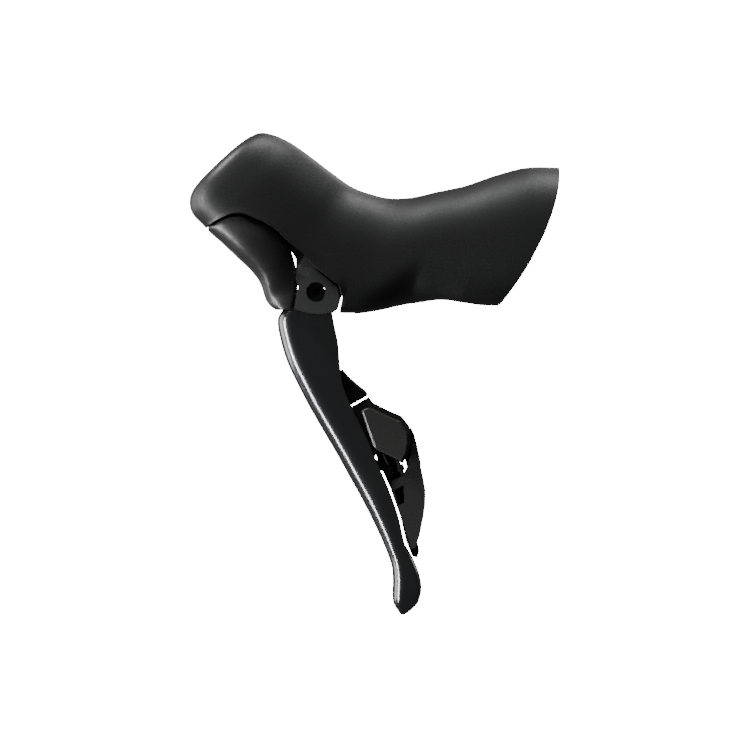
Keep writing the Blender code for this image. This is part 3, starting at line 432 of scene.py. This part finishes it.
def tidy(mesh, distance=0.01):
    """Merges doubled points and faces the mesh outwards."""
    work = bmesh.new()
    work.from_mesh(mesh)
    bmesh.ops.remove_doubles(work, verts=work.verts, dist=distance * MM)
    bmesh.ops.dissolve_degenerate(work, edges=work.edges, dist=distance * MM)
    bmesh.ops.recalc_face_normals(work, faces=work.faces)
    work.to_mesh(mesh)
    work.free()


def skin(name, rows, closed=True):
    """Quads between rows of points in millimetres. Closed rows are loops with filled ends."""
    work = bmesh.new()
    lines = [[work.verts.new(Vector(point) * MM) for point in row] for row in rows]
    size = len(lines[0])
    for low, high in zip(lines, lines[1:]):
        for i in range(size if closed else size - 1):
            j = (i + 1) % size
            work.faces.new((low[i], low[j], high[j], high[i]))
    if closed:
        work.faces.new(lines[0])
        work.faces.new(reversed(lines[-1]))
    mesh = bpy.data.meshes.new(name)
    work.to_mesh(mesh)
    work.free()
    tidy(mesh)
    return link(name, mesh)


def bake(piece):
    """Replaces the piece's mesh by what its modifiers make, with its place in its points."""
    bpy.context.view_layer.update()
    graph = bpy.context.evaluated_depsgraph_get()
    mesh = bpy.data.meshes.new_from_object(piece.evaluated_get(graph))
    mesh.transform(piece.matrix_world)
    name = piece.name
    bpy.data.objects.remove(piece)
    return link(name, mesh)


def add(piece, kind, **settings):
    """A modifier with its settings."""
    modifier = piece.modifiers.new(kind.lower(), kind)
    for key, value in settings.items():
        setattr(modifier, key, value)


def rounded(piece, width, angle=35):
    """The piece baked, with its edges sharper than the angle rounded."""
    add(piece, "BEVEL", width=width * MM, segments=2, limit_method="ANGLE",
        angle_limit=math.radians(angle))
    return bake(piece)


def plate(name, outline, low, high, holes=()):
    """A flat outline in the side view, from y low to y high, with holes (x, z, radius)."""
    curve = bpy.data.curves.new(name, "CURVE")
    curve.dimensions = "2D"
    curve.fill_mode = "BOTH"
    curve.extrude = abs(high - low) / 2 * MM
    loops = [outline]
    for x, z, radius in holes:
        turns = [2 * math.pi * i / HOLE_SIDES for i in range(HOLE_SIDES)]
        loops.append([(x + radius * math.cos(a), z + radius * math.sin(a)) for a in turns])
    for loop in loops:
        spline = curve.splines.new("POLY")
        spline.points.add(len(loop) - 1)
        for point, (x, z) in zip(spline.points, loop):
            point.co = (x * MM, z * MM, 0, 1)
        spline.use_cyclic_u = True
    made = link(name, curve)
    made.rotation_euler = (math.pi / 2, 0, 0)
    made.location = (0, (low + high) / 2 * MM, 0)
    made = bake(made)
    tidy(made.data)
    return made


def joined(name, pieces):
    """One mesh from several, which must not be used afterwards."""
    work = bmesh.new()
    for piece in pieces:
        work.from_mesh(piece.data)
        bpy.data.objects.remove(piece)
    mesh = bpy.data.meshes.new(name)
    work.to_mesh(mesh)
    work.free()
    return link(name, mesh)


def dress(piece, body, nodes, look, angle=40):
    """Gives a finished piece its shading, its material and its place in the model."""
    piece.data.shade_smooth()
    piece.data.set_sharp_from_angle(angle=math.radians(angle))
    piece.data.materials.clear()
    piece.data.materials.append(look)
    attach(piece, body)
    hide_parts(*nodes)
    print(f"{piece.name}: {len(piece.data.polygons)} faces")


def between(values, t):
    """A smooth curve through equal-length number lists, at position t in list steps."""
    i = max(0, min(int(t), len(values) - 2))
    f = t - i
    rows = (values[max(i - 1, 0)], values[i], values[i + 1], values[min(i + 2, len(values) - 1)])
    found = []
    for a, b, c, d in zip(*rows):
        cubic = 3 * b - a - 3 * c + d
        square = 2 * a - 5 * b + 4 * c - d
        found.append(b + f / 2 * (c - a + f * (square + f * cubic)))
    return found


def steps(low, high, count):
    """Evenly spaced values from low to high, both included."""
    return [low + (high - low) * i / count for i in range(count + 1)]


print("mesh helpers ready")

# %% [markdown]
# ## The hood's surface
#
# The hood is a sleeve of rubber. Cut across, it is a squared oval, and the oval swells into a
# horn at the front and flares at the back where it meets the handlebar. A cage of quads under
# subdivision could follow it, but its cut edges would drift. So the shape is a list of rings,
# with the same numbers as the engineering model, and a rule that gives the point at any angle
# round any ring. Rows between the listed rings follow a smooth curve.

# %% The hood's surface
# Each ring: top point (x, z), bottom point (x, z), half width, squareness, egg.
RINGS = [
    (-83.4, 28.4, -83.4, 28.4, 0.0, 2.2, 0.0),
    (-80.0, 31.7, -86.8, 25.2, 5.2, 2.2, 0.0),
    (-76.4, 34.8, -89.9, 22.1, 9.6, 2.3, 0.0),
    (-73.2, 36.9, -91.8, 19.5, 12.2, 2.4, -0.02),
    (-70.0, 38.0, -92.7, 16.2, 13.9, 2.4, -0.04),
    (-66.2, 37.3, -91.8, 12.5, 14.8, 2.4, -0.06),
    (-62.4, 35.7, -88.3, 8.7, 15.3, 2.4, -0.08),
    (-58.4, 33.3, -84.5, 4.9, 15.6, 2.4, -0.08),
    (-53.0, 29.3, -78.7, -0.8, 15.6, 2.4, -0.08),
    (-47.2, 24.9, -72.8, -6.4, 15.4, 2.4, -0.07),
    (-41.8, 21.1, -66.2, -13.1, 15.1, 2.4, -0.05),
    (-36.6, 19.0, -54.2, -18.1, 14.9, 2.5, -0.03),
    (-30.0, 17.4, -41.7, -19.0, 14.8, 2.5, 0.0),
    (-22.8, 17.6, -32.7, -17.9, 15.1, 2.5, 0.02),
    (-14.7, 19.4, -24.4, -16.1, 15.6, 2.5, 0.02),
    (-5.8, 21.3, -15.6, -15.2, 16.2, 2.5, 0.02),
    (3.8, 24.6, -7.7, -16.0, 16.9, 2.5, 0.02),
    (13.6, 27.0, -1.0, -16.8, 17.5, 2.6, 0.02),
    (23.6, 27.0, 4.3, -16.9, 17.9, 2.6, 0.02),
]
LAST = len(RINGS) - 1
REAR_START = LAST - 4
REAR_BOW = 4.2
FLOOR_SQUARE = 3.0
SLOT_END = 12.1
SLOT_FADE = 1.1


def squareness(u, square, c):
    """The lower half of a ring is squarer at the rear and beside the blade's slot."""
    if c >= 0:
        return square
    rear = (u - REAR_START) / 2
    slot = math.exp(-((u - SLOT_END) / SLOT_FADE) ** 2)
    return square + FLOOR_SQUARE * min(1.0, max(rear, slot))


def ring_point(u, theta):
    """A point on the outer skin: theta is 0 at the top of ring u and pi at its bottom."""
    tx, tz, bx, bz, width, square, egg = between(RINGS, u)
    c, s = math.cos(theta), math.sin(theta)
    rear = max(0.0, (u - REAR_START) / (LAST - REAR_START))
    square = squareness(u, square, c)
    c = math.copysign(abs(c) ** (2 / square), c)
    s = math.copysign(abs(s) ** (2 / square), s)
    bow = REAR_BOW * rear * rear * (1 - c * c)
    x = (tx + bx) / 2 + (tx - bx) / 2 * c + bow
    z = (tz + bz) / 2 + (tz - bz) / 2 * c
    return Vector((x, max(width, 0.0) * s * (1 + egg * c), z))


print("ring 9 is", [round(v, 1) for v in ring_point(9, 0)], "at its top")

# %% [markdown]
# ## Where the rubber stops
#
# The front of the sleeve is open for the blade and its cover, its floor has a slot for the
# blade's travel, and at the back the floor has a notch where the handlebar goes down. Cutting
# them out with Booleans would leave ragged slivers. All three only shorten a ring, so each is
# written as the angle at which the ring ends.

# %% Where the rubber stops
OPENING = [
    (-94.0, 0.8), (-90.0, 5.4), (-87.2, 8.0), (-84.6, 9.8), (-82.2, 11.0), (-79.6, 12.0),
    (-76.0, 12.3), (-73.1, 11.2), (-66.5, 8.1), (-61.2, 3.3), (-56.4, -0.8), (-52.7, -4.6),
    (-47.6, -8.6), (-45.4, -10.5), (-44.5, -14.6), (-45.4, -17.8), (-46.2, -22.1),
]
SMOOTH_OPENING = [Vector(between(OPENING, t)) for t in steps(0, len(OPENING) - 1, 64)]
OPENING_START = 5
SLOT_START = 10
SLOT_HALF = 9.4
BAR_TILT = math.radians(23.7)
BAR_ROOM = 12.3
HALVINGS = 26


def opening_share(top, bottom):
    """How far down from top to bottom the front opening's edge is met, or None."""
    best = None
    along = bottom - top
    for a, b in zip(SMOOTH_OPENING, SMOOTH_OPENING[1:]):
        side = b - a
        turn = along.cross(side)
        if abs(turn) < 1e-9:
            continue
        share = (a - top).cross(side) / turn
        on_line = (a - top).cross(along) / turn
        if 0 <= share <= 1 and 0 <= on_line <= 1:
            best = share if best is None else min(best, share)
    return best


def angle_at_width(u, half):
    """The angle near the bottom of ring u where the skin is half millimetres from the middle."""
    low, high = math.pi / 2, math.pi
    for _ in range(HALVINGS):
        middle = (low + high) / 2
        if ring_point(u, middle).y > half:
            low = middle
        else:
            high = middle
    return (low + high) / 2


def front_end(u):
    """The angle where ring u stops at the front opening or at the slot."""
    tx, tz, bx, bz, _, square, _ = between(RINGS, u)
    share = opening_share(Vector((tx, tz)), Vector((bx, bz))) if u > OPENING_START else None
    end = math.pi
    if share is not None:
        c = 1 - 2 * share
        end = math.acos(math.copysign(abs(c) ** (squareness(u, square, c) / 2), c))
    if u > SLOT_START:
        end = min(end, angle_at_width(u, SLOT_HALF))
    return end


def notch_end(u):
    """The angle where ring u stops at the handlebar's notch, or pi."""
    bottom = ring_point(u, math.pi)
    forward = -bottom.x * math.cos(BAR_TILT) + bottom.z * math.sin(BAR_TILT)
    if forward > BAR_ROOM:
        return math.pi
    return angle_at_width(u, math.sqrt(BAR_ROOM ** 2 - max(0.0, forward) ** 2))


print("opening meets ring 8 at", round(front_end(8), 2), "rad")

# %% [markdown]
# ## The hood
#
# The skin could be modelled by pushing points about, but the rule is exact, so the rows are
# computed and only then thickened. Every row has the same angles, held at the angle where its
# ring ends, so that the shading runs on evenly beside the cut edges. Solidify gives the rubber
# its 2.2 mm, and a small bevel rounds the cut lips. The lip round the front opening is a little
# raised, as moulded rubber edges are, and catches a thin light line.

# %% The hood
RUBBER = 2.2
LIP_RISE = 0.3
LIP_WIDTH = 1.3
LIP_ROUND = 0.45
AROUND = 56
# The slot ends abruptly, between two rows that nearly touch.
SEAM = 0.004
WELD = 0.03


def hood_rows():
    """The ring numbers, closer at the nose and where the opening's edge turns."""
    rows = steps(0.12, 4.0, 22)[:-1] + steps(4.0, 7.0, 26)[:-1] + steps(7.0, 10.0, 20)[:-1]
    rows += steps(10.0, SLOT_END - SEAM, 30) + steps(SLOT_END, 14.6, 20)[:-1]
    return rows + steps(14.6, LAST, 40)


def raised(u, theta, end):
    """A skin point, lifted close to the front opening's edge."""
    point = ring_point(u, theta)
    whole_ring = end > 3.1
    if whole_ring or u > SLOT_END - 0.5:
        return point
    across = ring_point(u, theta + 0.01) - ring_point(u, theta - 0.01)
    along = ring_point(u + 0.02, theta) - ring_point(u - 0.02, theta)
    out = along.cross(across).normalized()
    if out.dot(point - ring_point(u, theta + math.pi)) < 0:
        out = -out
    gap = (ring_point(u, math.copysign(end, theta)) - point).length
    return point + out * LIP_RISE * math.exp(-((gap / LIP_WIDTH) ** 2))


def hood():
    """The whole sleeve, from the nose to the rear rim."""
    work = bmesh.new()
    nose = work.verts.new(ring_point(0, 0) * MM)
    previous = None
    for u in hood_rows():
        end = front_end(u) if u < SLOT_END else notch_end(u)
        angles = [max(-end, min(end, a)) for a in steps(-math.pi, math.pi, 2 * AROUND)]
        row = [work.verts.new(raised(u, a, end) * MM) for a in angles]
        if previous is None:
            for a, b in zip(row, row[1:]):
                work.faces.new((nose, b, a))
        else:
            for i in range(len(row) - 1):
                work.faces.new((previous[i], previous[i + 1], row[i + 1], row[i]))
        previous = row
    mesh = bpy.data.meshes.new("hood")
    work.to_mesh(mesh)
    work.free()
    tidy(mesh, WELD)
    piece = link("hood", mesh)
    add(piece, "SOLIDIFY", thickness=RUBBER * MM, offset=-1.0)
    dress(rounded(piece, LIP_ROUND, 55), "bracket", ["hood_cover"], RUBBER_LOOK, 60)


hood()

# %% [markdown]
# ## The front cover
#
# A thin moulding hides the lever's top and moves with it. Seen from the side it has a flat
# flank, and only near the front does it turn the corner. A flat outline with rounded edges would
# miss its hollows, so its sections are squared ovals cut in half, one after another down the
# front. The front carries a shallow plain panel.

# %% The front cover
# Each section: front point (x, z), rear edge point (x, z), half width.
COVER = [
    (-86.9, 7.2, -86.3, 8.0, 8.0), (-86.0, 6.3, -83.2, 9.8, 10.6), (-84.3, 4.7, -80.0, 11.2, 12.6),
    (-81.2, 1.6, -76.0, 11.6, 14.0), (-77.5, -1.9, -72.0, 10.0, 14.5),
    (-73.8, -5.4, -67.0, 7.7, 14.2), (-71.1, -8.9, -61.7, 2.6, 12.8),
    (-69.7, -12.1, -59.5, -2.9, 10.9), (-68.5, -15.1, -58.6, -9.5, 8.7),
    (-67.1, -16.8, -59.6, -15.0, 8.6), (-65.4, -17.9, -60.4, -17.7, 8.6),
]
COVER_WALL = 1.2
COVER_POWER = 0.72
COVER_ROWS = 70
PANEL_DEPTH = 0.25
PANEL_SIDE = 0.6
PANEL_MIDDLE = 4.6
PANEL_REACH = 2.6


def within(distance, limit):
    """1 well inside the limit, falling smoothly to 0 at it."""
    return max(0.0, 1 - (distance / limit) ** 8)


def cover_row(t, count=28):
    """One section of the cover, from its inboard edge round the front to its outboard edge."""
    fx, fz, ex, ez, half = between(COVER, t)
    front, edge = Vector((fx, 0, fz)), Vector((ex, 0, ez))
    row = []
    for angle in steps(-math.pi / 2, math.pi / 2, count):
        side = math.copysign(abs(math.sin(angle)) ** COVER_POWER, angle)
        reach = math.cos(angle) ** COVER_POWER
        inside = within(side, PANEL_SIDE) * within(t - PANEL_MIDDLE, PANEL_REACH)
        place = edge.lerp(front, reach) + (edge - front).normalized() * PANEL_DEPTH * inside
        row.append(place + Vector((0, half * side, 0)))
    return row


def front_cover():
    """The sections skinned and given their wall."""
    rows = [cover_row(t) for t in steps(0, len(COVER) - 1, COVER_ROWS)]
    piece = skin("lever_front_cover", rows, closed=False)
    add(piece, "SOLIDIFY", thickness=COVER_WALL * MM, offset=-1.0)
    add(piece, "SUBSURF", levels=1, render_levels=1)
    dress(bake(piece), "blade", ["front_cover"], COVER_LOOK, 60)


front_cover()

# %% [markdown]
# ## The brake blade
#
# The blade is a channel: a rounded front, a crease, and flat flanges behind. Towards the tip
# the channel fills and swells into a knob. A tube along a curve has one cross-section and can't
# do that, so each station says where front, crease and rear edge are, and the skin runs through
# all of them. Two ears on the axle and a tab for the cover's screw are plates.

# %% The brake blade
# Each station: front, crease, rear edge (x, z), half width, channel depth, outboard sweep.
BLADE = [
    (-61.0, -14.1, -57.6, -14.1, -48.1, -14.1, 7.1, 1.0, 0.0),
    (-63.4, -17.7, -59.0, -17.7, -48.0, -17.3, 7.1, 1.0, 0.0),
    (-65.0, -21.1, -59.8, -20.7, -47.6, -20.1, 7.1, 1.0, 0.0),
    (-64.1, -27.1, -58.8, -26.2, -46.8, -24.1, 7.1, 1.0, 0.1),
    (-61.8, -34.6, -56.4, -32.6, -45.9, -28.8, 7.1, 1.0, 0.3),
    (-58.4, -41.7, -53.0, -39.0, -45.4, -35.4, 7.1, 1.0, 0.6),
    (-55.1, -48.1, -49.5, -45.1, -44.2, -42.3, 7.0, 1.0, 1.0),
    (-50.8, -55.6, -45.1, -52.3, -40.9, -50.0, 6.9, 1.0, 1.5),
    (-46.4, -63.1, -40.7, -59.8, -37.1, -57.7, 6.8, 1.0, 2.1),
    (-42.2, -70.7, -36.6, -67.7, -33.6, -66.1, 6.7, 1.0, 2.8),
    (-38.0, -78.3, -32.8, -75.5, -30.1, -74.1, 6.6, 0.9, 3.6),
    (-34.1, -86.1, -29.5, -83.9, -27.0, -82.8, 6.4, 0.6, 4.4),
    (-31.1, -92.9, -27.4, -91.5, -25.2, -90.7, 6.3, 0.25, 5.1),
    (-29.1, -98.5, -25.6, -97.6, -23.4, -97.1, 6.4, 0.0, 5.6),
    (-28.7, -103.1, -24.8, -102.5, -21.5, -102.1, 6.6, 0.0, 6.0),
    (-28.8, -106.9, -24.8, -106.5, -21.0, -106.3, 6.3, 0.0, 6.2),
    (-28.6, -109.9, -25.2, -110.1, -22.0, -110.1, 5.0, 0.0, 6.3),
    (-27.5, -112.3, -25.5, -112.4, -23.5, -112.4, 3.2, 0.0, 6.4),
    (-26.1, -114.1, -25.6, -114.1, -25.1, -114.1, 0.9, 0.0, 6.4),
]
WALL = 2.0
THIN_WALL_SHARE = 0.45
TIP_BULGE = 1.4
FRONT_POWER = 0.8
CREASE_FLOOR = 0.6
FLANGE_SHARES = (1.0, 0.97, 0.66, 0.33, 0.06)
EDGE_ROUND = 0.3
EAR_ROUND = 0.25
EAR_INSIDE, EAR_OUTSIDE = 5.25, 6.95
EAR_RADIUS, AXLE_HOLE = 5.4, 3.75
PIVOT = Vector((-52.7, 0, -12.4))
TAB = [
    (-62.8, -16.5), (-61.6, -16.5), (-63.0, -12.6), (-65.8, -7.5), (-67.2, -8.2), (-64.7, -13.1),
]
TAB_HALF = 4.0


def blade_row(t, nose=14):
    """One closed section: inboard flange, front, outboard flange, then the channel's inside."""
    fx, fz, cx, cz, rx, rz, half, depth, sweep = between(BLADE, t)
    front, crease, rear = Vector((fx, 0, fz)), Vector((cx, 0, cz)), Vector((rx, 0, rz))
    back = (rear - front).normalized()
    wall = min(WALL, half * THIN_WALL_SHARE)
    bulge = TIP_BULGE * (1 - depth) * min(1.0, half / 5)
    outer, inner = [], []
    for angle in steps(-math.pi / 2, math.pi / 2, 2 * nose):
        share = math.cos(angle) ** FRONT_POWER if abs(angle) < 1.57 else 0.0
        out = Vector((0, math.sin(angle), 0))
        floor = (crease + back * wall * CREASE_FLOOR).lerp(front + back * wall, share)
        end = rear + back * bulge * math.cos(angle)
        outer.append(crease.lerp(front, share) + out * half)
        inner.append(end.lerp(floor, depth) + out * (half - wall))
    near, far = Vector((0, -half, 0)), Vector((0, half, 0))
    flange = [crease.lerp(rear, share) for share in FLANGE_SHARES]
    row = [place + near for place in flange] + outer + [place + far for place in reversed(flange)]
    lip = Vector((0, half - wall, 0))
    row += [rear + lip] + inner[::-1] + [rear - lip]
    return [point + Vector((0, sweep, 0)) for point in row]


def arc(centre, radius, start, end, count):
    """Points of an arc in the side view, its angles in degrees."""
    turns = [math.radians(a) for a in steps(start, end, count)]
    return [(centre.x + radius * math.cos(a), centre.z + radius * math.sin(a)) for a in turns]


def blade():
    """The channel, its two ears and its tab as one piece."""
    shell = skin("shell", [blade_row(t) for t in steps(0, 17, 120) + steps(17, 18, 10)[1:]])
    parts = [rounded(shell, EDGE_ROUND, 50)]
    ear = arc(PIVOT, EAR_RADIUS, -50, 200, 28) + [(-60.6, -15.6), (-60.2, -19.0), (-49.3, -19.0)]
    hole = (PIVOT.x, PIVOT.z, AXLE_HOLE)
    for side in (-1, 1):
        low, high = sorted((side * EAR_INSIDE, side * EAR_OUTSIDE))
        parts.append(rounded(plate("ear", ear, low, high, [hole]), EAR_ROUND))
    parts.append(rounded(plate("tab", TAB, -TAB_HALF, TAB_HALF), EDGE_ROUND))
    piece = joined("brake_blade", parts)
    dress(piece, "blade", ["lever_blade"], BLADE_LOOK, 38)


blade()

# %% [markdown]
# ## Finishes for the other parts
#
# Everything else keeps its engineering shape. The finishes could be handed out by node name, but
# the record already gives each node a slot, so each takes the finish of its slot, and a new
# part would find its own finish too.

# %% Finishes for the other parts
LOOKS = {
    "rubber": RUBBER_LOOK, "body_resin": BRACKET_LOOK, "cover_gloss": COVER_LOOK,
    "blade_metal": BLADE_LOOK, "switch_resin": SWITCH_LOOK, "steel": STEEL_LOOK,
    "black_steel": DARK_STEEL_LOOK, "alloy": ALLOY_LOOK, "seal_rubber": SEAL_LOOK,
    "circuit": BOARD_LOOK, "brass": BRASS_LOOK,
}


def finish_nodes():
    """Gives every CAD node the finish of its slot."""
    slots = {part["node"]: part["material_slot"] for part in frame["record"]["subparts"]}
    for name, node in frame["nodes"].items():
        node.data.materials.clear()
        node.data.materials.append(LOOKS[slots[name]])
    print(f"{len(slots)} nodes finished")


finish_nodes()

# %% [markdown]
#
# The dressed model has to stay the size of the engineering one.

print("dressing finished")
